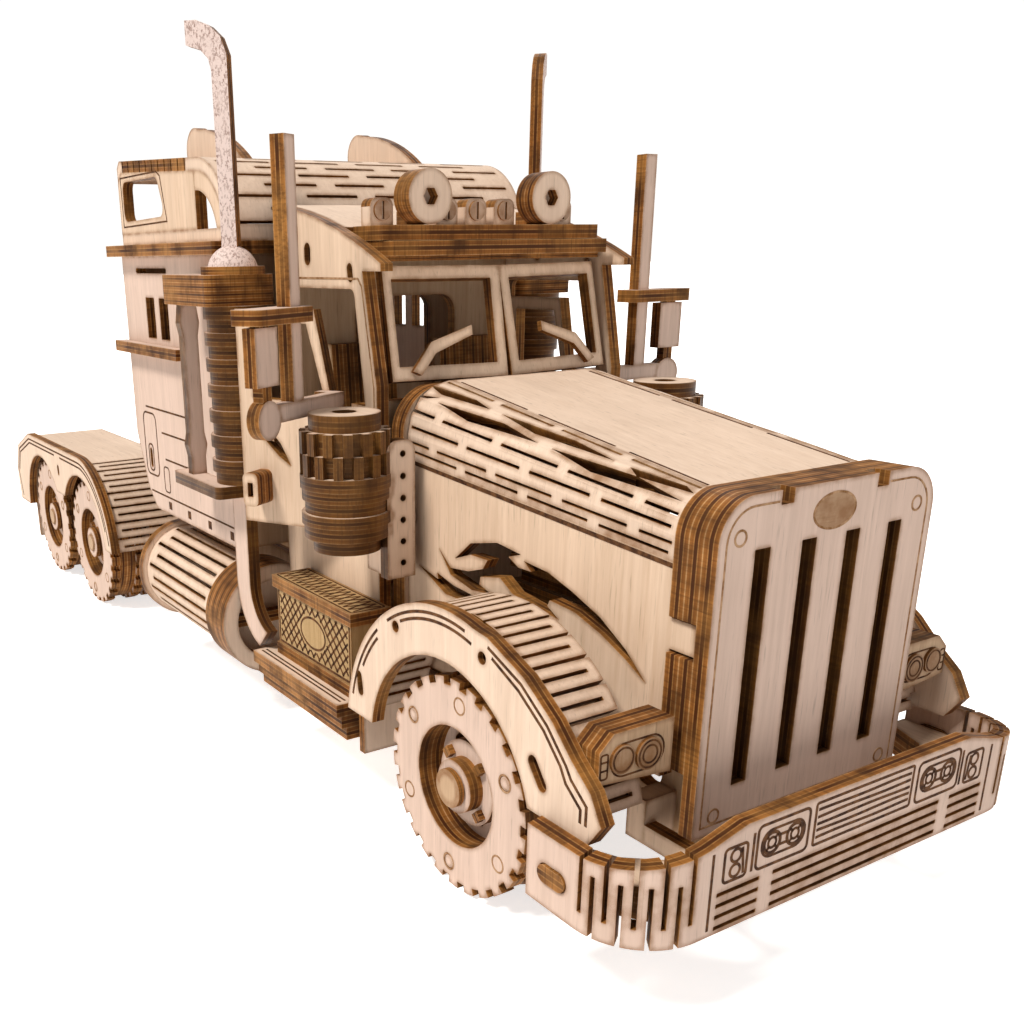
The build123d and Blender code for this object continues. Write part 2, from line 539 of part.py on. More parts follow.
def door(side):
    """A door and its mirror, shut; side is 1 for the left door and -1 for the right one."""
    y, z0, z1 = DOOR_HINGE_Y, DOOR_LOW, DOOR_TOP
    face = outline([(y, z0), (y + DOOR_LENGTH, z0), (y + DOOR_LENGTH, z1), (y + 7.2, z1), (y + 4.2, DOOR_SILL + 0.6),
                    (y + 3.0, DOOR_SILL), (y, DOOR_SILL)])
    face -= outline([(y + 5.6, 59.0), (y + 18.8, 59.0), (y + 18.8, 70.2), (y + 8.6, 70.2)])
    flash = outline([(y + 17.8, 53.6), (y + 15.2, 52.6), (y + 15.6, 54.0), (y + 14.0, 52.4), (y + 12.2, 49.0),
                     (y + 14.4, 50.4)])
    plate = plate_x(face - flash, 21, PLY) + disc_z(22, y, 1.0, z0, DOOR_SILL - z0)
    plate += disc_z(22, y, 0.6, z0 - 1.8, DOOR_SILL - z0 + 3.6)
    grip = outline([(y + 15.9, 43), (y + 18.7, 43), (y + 18.7, 48.2), (y + 15.9, 48.2)], 0.9)
    inner_grip = plate_x(grip, 23)
    outer_grip = plate_x(grip - Pos(y + 17.3, 45.6) * Rectangle(1.0, 2.2), 25)

    disc = disc_y(41.9, 59.0, 2.6, y + 2.3)
    arm = block(23, 40, y + 2.3, y + 4.3, 58.4, 60.8) - disc
    root = block(23, 25, y + 4.3, y + 6.2, 58.4, 60.8)
    post = block(33.8, 36.2, y + 2.2, y + 4.4, 60.8, 94.2)
    cap = outline([(32.0, y + 1.0), (45.2, y + 1.0), (45.2, y + 5.8), (32.0, y + 5.8)], 0.9)
    bracket = plate_z(cap, 71.2) - post
    glass = block(39.4, 44.4, y + 2.3, y + 4.3, 63.4, 70.9) + block(41, 43, y + 2.5, y + 4.1, 60.5, 71.2)
    hinge = Axis((22, y, 0), (0, 0, 1))
    pieces = [[plate, inner_grip, outer_grip], [arm + root, post, bracket, glass - disc, disc]]
    if side < 0:
        hinge = Axis((-22, y, 0), (0, 0, 1))
        pieces = [[flip(p).rotate(hinge, DOOR_AJAR) for p in group] for group in pieces]
    name = "left" if side > 0 else "right"
    keep("door_" + name, *pieces[0])
    keep("mirror_" + name, *pieces[1])


# ---------------------------------------------------------------- sleeper

def sleeper():
    front, rear = SLEEPER_FRONT, SLEEPER_REAR
    side = outline([(front, SLEEPER_LOW), (31, SLEEPER_LOW), (35, 35), (rear, 46), (rear, LEDGE_Z),
                    (front, LEDGE_Z)])
    for y in (18.6, 25.6):
        side -= box_face(y - 2.2, y + 2.2, 65.2, 72.6)
    side -= slot_face(24, 77.4, 16, 0.9)
    side -= slot_face(32.0, 41.5, 4, 1.2, 90)
    sill = block(SLEEPER_X + PLY, SLEEPER_X + PLY + 2.4, 8, rear + 1.5, 62.2, 64.2)
    both("sleeper_side", plate_x(side, SLEEPER_X), sill)
    wall = box_face(-SLEEPER_X, SLEEPER_X, SLEEPER_LOW, LEDGE_Z)
    passage = Pos(0, 60) * RectangleRounded(22, 26, 3)
    back_window = Pos(0, 66) * RectangleRounded(26, 12, 2)
    floor = block(-SLEEPER_X, SLEEPER_X, front + PLY, 30, SLEEPER_LOW, SLEEPER_LOW + PLY)
    back = plate_y(wall - back_window, rear - PLY) & block(-40, 40, 30, 50, 46.2, 90)
    keep("sleeper_walls", plate_y(wall - passage, front), back, floor)

    ledge = outline([(-31.4, -11.6), (-25.6, -11.6), (-25.6, -13.6), (25.6, -13.6), (25.6, -11.6), (31.4, -11.6),
                     (31.4, 42), (-31.4, 42)], 0.6)
    ledge -= box_face(-20, 20, -8, 34)
    keep("sleeper_ledge", plate_z(ledge, LEDGE_Z))

    # The cap: two side plates, a curved front rib at each end and one bent, slotted roof plate.
    bend_y = -13.4 + CAP_BEND
    top = [(bend_y, CAP_TOP_FRONT), (rear - 3, CAP_TOP_REAR)]
    arc = ThreePointArc((bend_y - CAP_BEND, CAP_BASE),
                        (bend_y - CAP_BEND * math.cos(math.pi / 4), CAP_BASE + CAP_BEND * math.sin(math.pi / 4)),
                        (bend_y, CAP_TOP_FRONT))
    rest = Polyline(top[0], top[1], (rear + 0.5, CAP_TOP_REAR - 3), (rear + 0.5, CAP_BASE),
                    (bend_y - CAP_BEND, CAP_BASE))
    whole = make_face([arc, *rest.edges()])
    inside = offset(whole, amount=-PLY)
    window = outline([(14.4, 86.6), (35.6, 86.2), (35.6, 93.2), (17.4, 93.2)], 1.6)
    rib = (inside & box_face(-20, 0, 80, 100)) - Pos(bend_y, CAP_BASE) * Circle(CAP_BEND - 5)
    panel = (inside & box_face(0, 50, 80, 100)) - window
    skin_face = (whole - inside) & box_face(-20, rear - 1.6, CAP_BASE + 0.02, 100)
    ends = [plate_x(panel, SLEEPER_X), plate_x(rib, SLEEPER_X), plate_x(rib, SLEEPER_X - PLY)]
    keep("sleeper_cap_sides", *pair(*ends))
    skin = plate_x(skin_face, -29, 58)
    knives = []
    for i in range(9):
        turn = 12 + 9.5 * i
        knife = Pos(0, bend_y, CAP_BASE) * Rot(90 - turn, 0, 0)
        for j in range(4):
            x = -22.5 + 13 * j + (6 if i % 2 else 0)
            knives.append(knife * Pos(x, 0, CAP_BEND) * Box(9.5, 0.5, 7))
    for i in range(11):
        y = bend_y + 2.8 + 3.1 * i
        for j in range(4):
            x = -22.5 + 13 * j + (6 if i % 2 else 0)
            knives.append(Pos(x, y, CAP_TOP_FRONT) * Box(9.5, 0.5, 8))
        knives += pair(block(27.4, 30, y + 1.0, y + 1.5, 92, 100))
    keep("sleeper_roof", skin - knives)

    fin = make_face([ThreePointArc((3.6, 95.24), (12.5, 99.6), (22.5, 101.6)),
                     ThreePointArc((22.5, 101.6), (27.6, 100.2), (28, 96.56)), Line((28, 96.56), (3.6, 95.24))])
    keep("roof_fins", *pair(plate_x(fin, 16.4)))


# ---------------------------------------------------------------- exhausts, cleaners, tanks, steps

def exhaust():
    x, y = STACK_X, STACK_Y
    low, high = 44.4, 72.4
    pieces = [disc_z(x, y, 5.1 if i % 2 else 4.6, low + PLY * i) for i in range(14)]
    foot = outline([(x - 5.4, -19.3), (36.0, -19.3), (36.0, 0.6), (29.4, 0.6), (29.4, -10.4), (x - 5.4, -10.4)],
                   1.4)
    pieces += [plate_z(foot, high + 1.15 * i, 1.15) for i in range(4)]
    pieces.append(disc_z(x, y, 5.0, high + 4.6, 1.2))
    neck = high + 5.8
    dome = Pos(x, y, neck - 0.9) * Sphere(4.0) & block(x - 6, x + 6, y - 6, y + 6, neck, 90)
    pipe = outline([(-1.25, neck), (1.25, neck), (1.25, 105.4), (1.6, 107.0), (2.8, 108.3), (5.0, 109.0),
                    (5.0, 112.2), (3.2, 112.2), (1.2, 111.4), (-0.4, 109.9), (-1.25, 107.6)])
    slanted = Plane(origin=(x, y, 0), x_dir=(1, 1, 0), z_dir=(1, -1, 0))
    pipe = extrude(slanted * pipe, 1.0, dir=slanted.z_dir, both=True)
    pieces += [dome - pipe, pipe]
    lower = outline([(x - 3, -19.3), (36.2, -18.5), (36.2, 1.0), (32.2, 1.0), (32.2, -10.8), (x - 3, -10.8)],
                    1.2)
    pieces.append(plate_z(lower, low - PLY))
    post = outline([(32.3, low), (34.9, low), (34.9, low + 3), (35.3, low + 5), (34.9, low + 7), (34.9, high - 5),
                    (35.3, high - 3), (34.9, high), (32.3, high), (31.9, high - 3), (32.3, high - 5),
                    (32.3, low + 7), (31.9, low + 5), (32.3, low + 3)])
    pieces.append(plate_y(post, -5.2))
    e = y - 0.7
    elbow = make_face([Line((e + 2.6, low - PLY), (e + 2.6, 27)),
                       ThreePointArc((e + 2.6, 27), (e + 1.0, 21.6), (e - 5.2, 17.2)),
                       Line((e - 5.2, 17.2), (e - 8.4, 20.4)),
                       ThreePointArc((e - 8.4, 20.4), (e - 3.6, 23.8), (e - 2.6, 28)),
                       Line((e - 2.6, 28), (e - 2.6, low - PLY)),
                       Line((e - 2.6, low - PLY), (e + 2.6, low - PLY))])
    pieces.append(plate_x(elbow, 29.4))
    both("exhaust", *pieces)


def air_cleaner():
    x, y = CLEANER_X, CLEANER_Y
    stack = [disc_z(x, y, 4.8, 40.4), disc_z(x, y, 6.0, 42.4), disc_z(x, y, 6.3, 44.4, 1.6),
             disc_z(x, y, 5.8, 46.0, 1.8), disc_z(x, y, 6.2, 47.8, 1.6), disc_z(x, y, 6.4, 49.4, 1.8),
             disc_z(x, y, 5.0, 57.2, 2.3, 1.7)]
    for k, z in enumerate((51.2, 54.2)):
        gear = Circle(5.4)
        for i in range(14):
            gear += Rot(0, 0, 360 * (i + 0.5 * k) / 14) * Pos(5.7, 0) * Rectangle(1.2, 1.3)
        stack.append(plate_z(Pos(x, y) * gear, z, 3.0))
    plate = outline([(21.4, 36), (26.0, 36), (26.0, 55.6), (21.4, 55.6)])
    plate = fillet(plate.vertices().filter_by(lambda v: v.Y > 50), 1.6)
    for i in range(6):
        plate -= Pos(23.4, 38.2 + 3.1 * i) * Circle(0.45)
    bracket = plate_y(plate, -54.4)
    web = block(23.2, 26.0, -52.4, -45.5, 46.2, 47.6)
    body = stack[3] - web
    stack[3] = body
    both("air_cleaner", *stack, bracket, web - stack[4] - stack[2] - body,
         block(23.2, 25.2, -52.4, -47.4, 36, 46.2))


def tank():
    x, z, r = TANK_X, TANK_Z, TANK_R
    pieces = []
    for i, y in enumerate((-13.2, -11.2, -9.2, -7.2)):
        pieces.append(disc_y(x, z, r, y, PLY, 7.2 if i < 2 else 0))
    pieces += [disc_y(x, z, r, 28, PLY), disc_y(x, z, r - 1.4, 30, PLY)]
    drum = disc_y(x, z, r - 1.0, -5.2, 33.2, r - 2.6)
    knives = []
    for i in range(24):
        knives.append(Pos(x, 11 + (1.2 if i % 2 else -1.2), z) * Rot(0, 15 * i, 0) * Pos(0, 0, r - 1) *
                      Box(0.6, 29, 5))
    pieces.append(drum - knives)
    pieces.append(disc_y(x, z, 4, -5.2, 33.2))
    bars = [block(x - 7.1, x + 7.1, -11.6, -9.6, z - 1.0, z + 1.0)]
    both("fuel_tank", *pieces, *[bar - pieces[0] - pieces[1] - pieces[2] for bar in bars])


def step():
    board = [block(11.2, 33.0 - 0.8 * i, -50.8, -22.0, STEP_Z - 2 * i, STEP_Z + 2 - 2 * i) for i in range(3)]
    box = [block(23.4, 30.0, -50.2, -25.2, 17.0, 19.0), block(23.7, 29.7, -49.8, -25.6, 19.0, 28.5),
           block(23.3, 30.2, -50.6, -24.8, 28.5, 30.5)]
    hanger = block(11.0, 13.0, -50, -23, 17.0, 22.0)
    both("step", *board, *box, hanger)


def fifth_wheel():
    y = 92.5
    base = [block(-RAIL_X, RAIL_X, y - 8, y + 8, 24.0 - 2, 24.0)]
    cheek = outline([(y - 7, 24), (y + 7, 24), (y + 3, 30.4), (y - 3, 30.4)])
    cheek -= Pos(y, 27.8) * Circle(1.25)
    keep("fifth_wheel_base", *base, *pair(plate_x(cheek, 6.5)))
    plate = outline([(-9.6, y - 13), (9.6, y - 13), (9.6, y + 5), (4.5, y + 15), (2.2, y + 15), (2.2, y + 4),
                     (-2.2, y + 4), (-2.2, y + 15), (-4.5, y + 15), (-9.6, y + 5)])
    plate -= Pos(0, y + 3) * Circle(2.6)
    lug = outline([(y - 2.6, 31.2), (y - 2.0, 25.8), (y + 2.0, 25.8), (y + 2.6, 31.2)])
    lugs = pair(plate_x(lug, 4.2))
    pin = disc_x(y, 27.8, 1.2, -8.6, 17.2)
    keep("fifth_wheel_plate", plate_z(plate, 31.2), *[lug_part - pin for lug_part in lugs], pin)


frame()
engine()
bumper()
grille()
hood()
headlights()
front_fender()
rear_fender()
wheels()
cab()
cowl()
windshield()
roof()
door(1)
door(-1)
sleeper()
exhaust()
air_cleaner()
tank()
step()
fifth_wheel()

for name, shape in parts.items():
    export_step(shape, os.path.join("parts", name + ".step"))
print(len(parts), "nodes")
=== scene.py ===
import math

import bpy
import numpy as np
from mathutils import Matrix, Vector


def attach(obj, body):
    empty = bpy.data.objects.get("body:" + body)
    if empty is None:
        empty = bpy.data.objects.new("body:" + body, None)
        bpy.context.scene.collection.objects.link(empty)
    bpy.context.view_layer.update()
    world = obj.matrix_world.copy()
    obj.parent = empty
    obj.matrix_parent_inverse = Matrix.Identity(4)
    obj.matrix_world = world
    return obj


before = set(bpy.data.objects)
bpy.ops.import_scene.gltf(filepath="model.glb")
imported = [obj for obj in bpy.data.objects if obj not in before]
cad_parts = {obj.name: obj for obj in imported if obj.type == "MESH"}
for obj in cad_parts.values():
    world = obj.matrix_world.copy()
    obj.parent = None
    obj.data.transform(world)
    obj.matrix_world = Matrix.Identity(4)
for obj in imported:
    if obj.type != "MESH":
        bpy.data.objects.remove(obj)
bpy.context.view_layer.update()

MM = 0.001
PLY = 2.0 * MM
THIN = 2.3 * MM  # a flat strip narrower than this is the cut edge of a plate
PIPE_FOOT = 78.3 * MM  # the exhaust pipes are pebbled above this height
CHARRED_TOP = 72.0 * MM  # cut edges of the mufflers and air cleaners are charred below it
SLOT_REACH, SLOT_TOP = 14.5 * MM, 50.0 * MM  # the grille's slots lie inside these limits
TOOLBOX_LOW, TOOLBOX_TOP = 17.5 * MM, 30.7 * MM  # the toolboxes on the steps lie between these heights and get a darker golden tone there, which is painted shade
PROUD = 0.05 * MM  # an engraved line stands this far out of its face, and goes as far into it

# places in the frame, in millimetres
FRONT_AXLE_Y = -77.6
DRIVE_AXLES_Y = (75.5, 109.5)
WHEEL_Z = 14.7
WHEEL_X = 30.7
PEG_CIRCLE = 11.6
FENDER_X = 32.5
CAB_X = 23.0
SLEEPER_X = 29.0
TOOLBOX_X = 29.7
STEP_Z = 17.0
LID_Z = 30.5
GRILLE_Y = -106.0
BUMPER_Y = -114.7
HEADLIGHT_Y = -103.5
LENS_Y = -103.9
BUMPER_CORNER = (26.0, -105.7)
HOOD_Y = -100.0
HOOD_LENGTH = 49.5
HOOD_Z = 55.0
HOOD_RISE = 7.5
HOOD_SPREAD = 2.5

ACROSS, ALONG, UP = (1, 0, 0), (0, 1, 0), (0, 0, 1)
SIDES = ((1, "left"), (-1, "right"))
FIXED = ("truck", "truck")  # the bodies that carry the left and the right copy of fixed lines


# ------------------------------------------------------------ materials

def shader(name):
    material = bpy.data.materials.new(name)
    material.use_nodes = True
    tree = material.node_tree
    tree.nodes.clear()
    out = tree.nodes.new("ShaderNodeOutputMaterial")
    bsdf = tree.nodes.new("ShaderNodeBsdfPrincipled")
    tree.links.new(bsdf.outputs["BSDF"], out.inputs["Surface"])
    return material, tree, bsdf


def node(tree, kind, **values):
    made = tree.nodes.new(kind)
    for key, value in values.items():
        if key in made.inputs:
            made.inputs[key].default_value = value
        else:
            setattr(made, key, value)
    return made


def noise(tree, source, scale, detail=4.0, rough=0.6):
    """Noise whose scale along each axis is given in features per metre."""
    stretch = node(tree, "ShaderNodeVectorMath", operation="MULTIPLY")
    stretch.inputs[1].default_value = scale
    tree.links.new(source, stretch.inputs[0])
    texture = node(tree, "ShaderNodeTexNoise", Scale=1.0, Detail=detail, Roughness=rough)
    tree.links.new(stretch.outputs[0], texture.inputs["Vector"])
    return texture.outputs["Fac"]


def remap(tree, source, low, high, to_low=0.0, to_high=1.0):
    made = node(tree, "ShaderNodeMapRange")
    for i, value in enumerate((low, high, to_low, to_high)):
        made.inputs[1 + i].default_value = value
    tree.links.new(source, made.inputs[0])
    return made.outputs[0]


def blend(tree, factor, a, b, mode="MIX"):
    made = node(tree, "ShaderNodeMix", data_type="RGBA", blend_type=mode)
    for slot, value in ((0, factor), (6, a), (7, b)):
        if hasattr(value, "is_output"):
            tree.links.new(value, made.inputs[slot])
        elif slot == 0:
            made.inputs[slot].default_value = value
        else:
            made.inputs[slot].default_value = (*value, 1.0)
    return made.outputs[2]


def times(tree, a, b):
    made = node(tree, "ShaderNodeMath", operation="MULTIPLY")
    for i, value in enumerate((a, b)):
        if hasattr(value, "is_output"):
            tree.links.new(value, made.inputs[i])
        else:
            made.inputs[i].default_value = value
    return made.outputs[0]


def stretched(axis, across, along):
    return tuple(along if i == axis else across for i in range(3))


def shade(colour, factor):
    return tuple(min(1.0, factor * c) for c in colour)


def roughen(tree, bsdf, height, strength, distance, invert=False):
    bump = node(tree, "ShaderNodeBump", Strength=strength, Distance=distance * MM, invert=invert)
    tree.links.new(height, bump.inputs["Height"])
    tree.links.new(bump.outputs["Normal"], bsdf.inputs["Normal"])


def birch(name, light, dark, axis):
    """The face of a plate: pale birch with fine grain along one axis and scorched rims."""
    material, tree, bsdf = shader(name)
    place = node(tree, "ShaderNodeTexCoord").outputs["Object"]
    grain = noise(tree, place, stretched(axis, 1500, 70), 5.0, 0.65)
    bands = noise(tree, place, stretched(axis, 260, 14), 3.0, 0.5)
    cloud = noise(tree, place, (60, 60, 60), 3.0, 0.5)
    pores = noise(tree, place, stretched(axis, 3600, 220), 2.0, 0.5)
    colour = blend(tree, remap(tree, grain, 0.32, 0.68), dark, light)
    colour = blend(tree, remap(tree, bands, 0.42, 0.72, 0.0, 0.35), colour, shade(dark, 0.82))
    colour = blend(tree, remap(tree, cloud, 0.45, 0.75, 0.0, 0.30), colour, shade(light, 1.12))
    colour = blend(tree, remap(tree, pores, 0.62, 0.74, 0.0, 0.45), colour, shade(dark, 0.55))
    rim = node(tree, "ShaderNodeAmbientOcclusion", inside=True, only_local=True, samples=8, Distance=0.8 * MM)
    scorch = remap(tree, rim.outputs["AO"], 0.92, 0.50, 0.0, 1.0)
    smoke = noise(tree, place, (420, 420, 420), 3.0, 0.6)
    scorch = times(tree, scorch, remap(tree, smoke, 0.35, 0.65, 0.45, 1.0))
    colour = blend(tree, times(tree, scorch, 0.85), colour, (0.22, 0.095, 0.030))
    tree.links.new(colour, bsdf.inputs["Base Color"])
    tree.links.new(remap(tree, grain, 0.3, 0.7, 0.62, 0.78), bsdf.inputs["Roughness"])
    bsdf.inputs["Specular IOR Level"].default_value = 0.28
    roughen(tree, bsdf, grain, 0.22, 0.06)
    return material


def burnt_edge(name, axis, dark=1.0, gloss=0.0):
    """The laser-cut edge of a plate: three plies, burnt brown, with streaks across its thickness, and a
    painted highlight along both corners where it meets the faces.
    """
    material, tree, bsdf = shader(name)
    place = node(tree, "ShaderNodeTexCoord").outputs["Object"]
    level = node(tree, "ShaderNodeAttribute", attribute_name="ply").outputs["Fac"]
    layer = node(tree, "ShaderNodeMath", operation="FRACT")
    tree.links.new(level, layer.inputs[0])
    ramp = node(tree, "ShaderNodeValToRGB")
    # the stops at 0 and 1 are a painted highlight on the corners of the edge; 0.34 and 0.66 are the light
    # glue lines between the plies
    stops_with_painted_highlight = [(0.0, (0.56, 0.32, 0.14)), (0.07, (0.27, 0.105, 0.024)), (0.29, (0.20, 0.070, 0.016)),
             (0.34, (0.44, 0.22, 0.070)), (0.40, (0.070, 0.022, 0.007)), (0.60, (0.062, 0.019, 0.006)),
             (0.66, (0.42, 0.20, 0.062)), (0.72, (0.22, 0.080, 0.018)), (0.93, (0.28, 0.11, 0.026)),
             (1.0, (0.56, 0.32, 0.14))]
    while len(ramp.color_ramp.elements) < len(stops_with_painted_highlight):
        ramp.color_ramp.elements.new(0.5)
    for element, (position, colour) in zip(ramp.color_ramp.elements, stops_with_painted_highlight):
        element.position = position
        element.color = (*shade(colour, dark), 1.0)
    tree.links.new(layer.outputs[0], ramp.inputs["Fac"])
    streaks = noise(tree, place, stretched(axis, 2600, 160), 3.0, 0.7)
    burn = noise(tree, place, (210, 210, 210), 3.0, 0.55)
    amber = noise(tree, place, (95, 95, 95), 2.0, 0.5)
    colour = blend(tree, remap(tree, amber, 0.46, 0.66, 0.0, 0.55), ramp.outputs["Color"],
                   shade((0.42, 0.195, 0.050), dark))
    colour = blend(tree, remap(tree, streaks, 0.45, 0.70, 0.0, 0.55), colour, (0.050, 0.021, 0.009))
    colour = blend(tree, remap(tree, burn, 0.44, 0.70, 0.0, 0.80), colour, (0.036, 0.015, 0.008))
    tree.links.new(colour, bsdf.inputs["Base Color"])
    tree.links.new(remap(tree, burn, 0.4, 0.7, 0.50 - gloss, 0.66 - gloss), bsdf.inputs["Roughness"])
    bsdf.inputs["Specular IOR Level"].default_value = 0.22 + gloss
    bsdf.inputs["Specular Tint"].default_value = (1.0, 0.60, 0.34, 1.0)
    roughen(tree, bsdf, streaks, 0.35, 0.08)
    return material


def pebbled():
    """A face covered all over with small engraved wriggles."""
    material, tree, bsdf = shader("pebbled ply")
    place = node(tree, "ShaderNodeTexCoord").outputs["Object"]
    warp = noise(tree, place, (900, 900, 500), 2.0, 0.5)
    cells = noise(tree, place, (3000, 3000, 1700), 2.0, 0.7)
    marks = times(tree, remap(tree, cells, 0.50, 0.60), remap(tree, warp, 0.30, 0.60, 0.25, 0.75))
    colour = blend(tree, marks, (0.72, 0.58, 0.53), (0.22, 0.115, 0.085))
    tree.links.new(colour, bsdf.inputs["Base Color"])
    bsdf.inputs["Roughness"].default_value = 0.75
    roughen(tree, bsdf, marks, 0.4, 0.10, invert=True)
    return material


def engraving(name, dark, light):
    """A line burnt into a face by the laser."""
    material, tree, bsdf = shader(name)
    place = node(tree, "ShaderNodeTexCoord").outputs["Object"]
    char = noise(tree, place, (900, 900, 900), 3.0, 0.6)
    colour = blend(tree, remap(tree, char, 0.35, 0.65), dark, light)
    tree.links.new(colour, bsdf.inputs["Base Color"])
    bsdf.inputs["Roughness"].default_value = 0.8
    bsdf.inputs["Specular IOR Level"].default_value = 0.15
    roughen(tree, bsdf, char, 0.5, 0.05)
    return material


# each tone of birch: its light and its dark colour
TONES = {
    "light": ((0.76, 0.590, 0.460), (0.66, 0.490, 0.365)),
    "warm": ((0.73, 0.550, 0.405), (0.61, 0.435, 0.300)),
    "rosy": ((0.67, 0.505, 0.415), (0.57, 0.415, 0.330)),
    "tan": ((0.56, 0.390, 0.250), (0.42, 0.270, 0.155)),
    # a darker tone that paints shade on the toolboxes
    "painted_shade_golden": ((0.47, 0.315, 0.150), (0.33, 0.200, 0.080)),
}
FACES = {(tone, axis): birch("birch %s %s" % (tone, "xyz"[axis]), *TONES[tone], axis)
         for tone in TONES for axis in range(3)}
EDGES = [burnt_edge("burnt edge " + "xyz"[axis], axis) for axis in range(3)]
# darker edges: real charring on the mufflers and air cleaners, and painted shade inside the grille's slots
CHARRED_AND_SHADED = [burnt_edge("charred and shaded edge " + "xyz"[axis], axis, 0.45, 0.14) for axis in range(3)]
PEBBLED = pebbled()
ENGRAVED = engraving("engraved line", (0.040, 0.016, 0.008), (0.15, 0.066, 0.026))
SCORED = engraving("scored line", (0.20, 0.092, 0.034), (0.44, 0.27, 0.150))


# ------------------------------------------------------------ the plates of the frame

def strip_of(points, normal):
    """Widths of a flat face's smallest rectangle, each with its direction."""
    reference = Vector((0, 0, 1)) if abs(normal[2]) < 0.9 else Vector((1, 0, 0))
    u = np.array(Vector(normal).cross(reference).normalized())
    v = np.cross(normal, u)
    flat = np.stack([points @ u, points @ v], 1)
    best = None
    for turn in np.radians(np.arange(0, 90, 2.5)):
        c, s = math.cos(turn), math.sin(turn)
        a, b = flat @ (c, s), flat @ (-s, c)
        found = (np.ptp(a) * np.ptp(b), np.ptp(a), np.ptp(b), c * u + s * v, -s * u + c * v)
        if best is None or found[0] < best[0] - 1e-12:
            best = found
    return best[1:]


def radial(centre, axis):
    """A rule that gives the outward direction of a bent skin round a line along one axis."""
    def rule(p):
        away = np.array(p) - np.array(centre)
        away[axis] = 0.0
        return away / max(np.linalg.norm(away), 1e-9)
    return rule


def bumper_rule(p):
    """Forwards on the front, sideways on the wings, and round the bend between them."""
    corner_x, corner_y = BUMPER_CORNER[0] * MM, BUMPER_CORNER[1] * MM
    side = math.copysign(1, p[0])
    if p[1] > corner_y:
        return np.array((side, 0, 0))
    if abs(p[0]) > corner_x:
        return radial((side * corner_x, corner_y, 0), 2)(p)
    return np.array((0, -1.0, 0))


def shoulder_rule(p):
    """Round the bend of the hood shoulder, whose radius grows from 4.5 to 7 mm towards the cab."""
    k = (p[1] / MM - HOOD_Y) / HOOD_LENGTH
    centre_x = math.copysign(13.0, p[0])
    centre_z = HOOD_Z + HOOD_RISE * k - (4.5 + 2.5 * k)
    return radial((centre_x * MM, 0, centre_z * MM), 1)(p)


SKINS = {"bumper_skin": bumper_rule, "hood_shoulder_left": shoulder_rule,
         "hood_shoulder_right": shoulder_rule}


def islands(mesh):
    """Groups of polygons that share vertices: one group for each face of the solid."""
    parent = np.arange(len(mesh.vertices))

    def find(a):
        while parent[a] != a:
            parent[a] = parent[parent[a]]
            a = parent[a]
        return a
    for polygon in mesh.polygons:
        first = find(polygon.vertices[0])
        for other in polygon.vertices[1:]:
            parent[find(other)] = first
    groups = {}
    for polygon in mesh.polygons:
        groups.setdefault(find(polygon.vertices[0]), []).append(polygon.index)
    return groups.values()


def cut_edge(rule, corners, normals, areas, centres, flat):
    """Direction and width across a face that is the cut edge of a plate, or None for other faces."""
    if rule is not None:
        facing = abs(float(np.dot(normals[0], rule(centres[0]))))
        return (rule(centres.mean(0)), PLY) if facing < 0.75 else None
    if flat:
        mean = (normals * areas[:, None]).sum(0)
        width, height, u, v = strip_of(corners, mean / np.linalg.norm(mean))
        choices = [(abs(w - PLY), w, way) for w, way in ((width, u), (height, v)) if w <= THIN]
        if not choices:
            return None
        _, extent, across = min(choices, key=lambda c: c[0])
        return across, extent
    spread = (normals * areas[:, None]).T @ normals
    line = np.linalg.eigh(spread)[1][:, 0]
    extent = np.ptp(corners @ line)
    return (line, extent) if extent <= 2.1 * PLY else None


def face_material(name, tone, normals, areas, centres, flat):
    """Birch whose grain runs upwards on standing faces and along the truck on lying ones."""
    mean = (normals * areas[:, None]).sum(0)
    n = np.abs(mean) if flat else np.abs(normals[0])
    axis = 2 if n[2] < 0.7 else 1
    if flat and int(np.argmax(n)) == axis:
        axis = 1 if axis != 1 else 0
    height = centres.mean(0)[2]
    if name.startswith("exhaust") and height > PIPE_FOOT:
        return PEBBLED
    # the toolbox sides and lids get the darker tone: painted shade
    if name.startswith("step") and TOOLBOX_LOW < height < TOOLBOX_TOP:
        tone = "painted_shade_golden"
    return FACES[tone, axis]


def edge_material(name, across, centres):
    middle = centres.mean(0)
    charred = name.startswith(("air_cleaner", "exhaust")) and middle[2] < CHARRED_TOP
    # the edges inside the grille's deep slots are darkened too, as painted shade
    charred |= name.startswith("grille") and abs(middle[0]) < SLOT_REACH and middle[2] < SLOT_TOP
    return (CHARRED_AND_SHADED if charred else EDGES)[int(np.argmax(np.abs(across)))]


def dress(name, tone):
    """Gives a plate its face material and its burnt edges, and marks how deep each edge point lies."""
    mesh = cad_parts[name].data
    mesh.materials.clear()
    points = np.array([v.co for v in mesh.vertices])
    normals = np.array([p.normal for p in mesh.polygons])
    areas = np.array([p.area for p in mesh.polygons])
    centres = np.array([p.center for p in mesh.polygons])
    depth = np.zeros(len(mesh.loops), np.float32)
    used = []
    for group in islands(mesh):
        corners = points[sorted({v for i in group for v in mesh.polygons[i].vertices})]
        shape = normals[group], areas[group], centres[group]
        mean = (shape[0] * shape[1][:, None]).sum(0)
        flat = np.linalg.norm(mean) > 0.9995 * shape[1].sum()
        edge = cut_edge(SKINS.get(name), corners, *shape, flat)
        if edge is None:
            material = face_material(name, tone, *shape, flat)
        else:
            across, extent = edge
            material = edge_material(name, across, shape[2])
            low = (corners @ across).min()
            layers = max(1, round(extent / PLY))
            for loop in (loop for i in group for loop in mesh.polygons[i].loop_indices):
                height = (points[mesh.loops[loop].vertex_index] @ across - low) / max(extent, 1e-6)
                depth[loop] = min(max(height, 0.002), 0.998) * layers
        if material not in used:
            used.append(material)
            mesh.materials.append(material)
        for i in group:
            mesh.polygons[i].material_index = used.index(material)
    mesh.attributes.new("ply", "FLOAT", "CORNER").data.foreach_set("value", depth)


